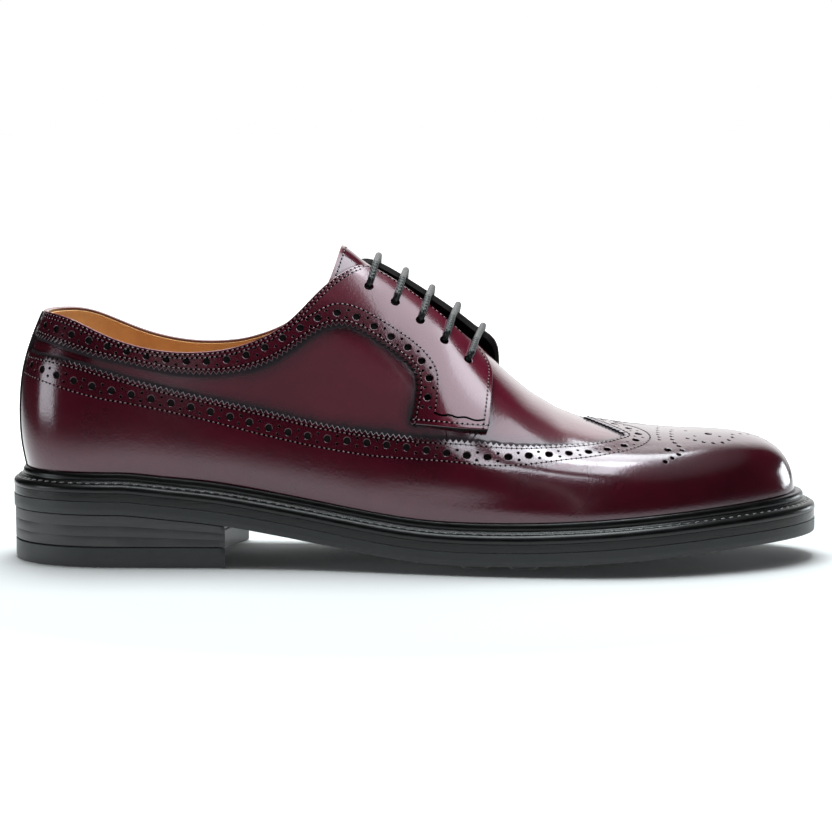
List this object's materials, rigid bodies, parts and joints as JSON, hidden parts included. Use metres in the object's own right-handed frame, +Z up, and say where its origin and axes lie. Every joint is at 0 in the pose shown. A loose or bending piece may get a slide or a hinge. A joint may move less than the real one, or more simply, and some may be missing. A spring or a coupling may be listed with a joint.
{
  "type": "brogue derby shoe",
  "caption": "Right leather dress shoe with open lacing, punched long-wing overlays, a lipped welt, stacked heel and studded rubber sole.",
  "frame": {"origin": "on the floor under the middle of the shoe's box", "axes": "+X to the toe, +Y to the inner side of the foot, +Z up"},
  "size_m": [0.308, 0.1068, 0.1203],
  "materials": {
    "sole_rubber": "matt black-grey rubber",
    "black_edge_leather": "black stained and waxed leather",
    "burgundy_calf": "polished burgundy calf, darker along its edges",
    "tan_leather": "plain tan lining leather",
    "black_cord": "waxed round black cord"
  },
  "bodies": {
    "root": {"outsole": "sole_rubber", "heel_top_lift": "sole_rubber", "midsole": "black_edge_leather", "heel_stack": "black_edge_leather", "welt": "black_edge_leather", "upper": "burgundy_calf", "tongue": "burgundy_calf", "insole": "tan_leather", "lace_bar_1": "black_cord", "lace_bar_2": "black_cord", "lace_bar_3": "black_cord", "lace_bar_4": "black_cord", "lace_bar_5": "black_cord"}
  },
  "joints": []
}
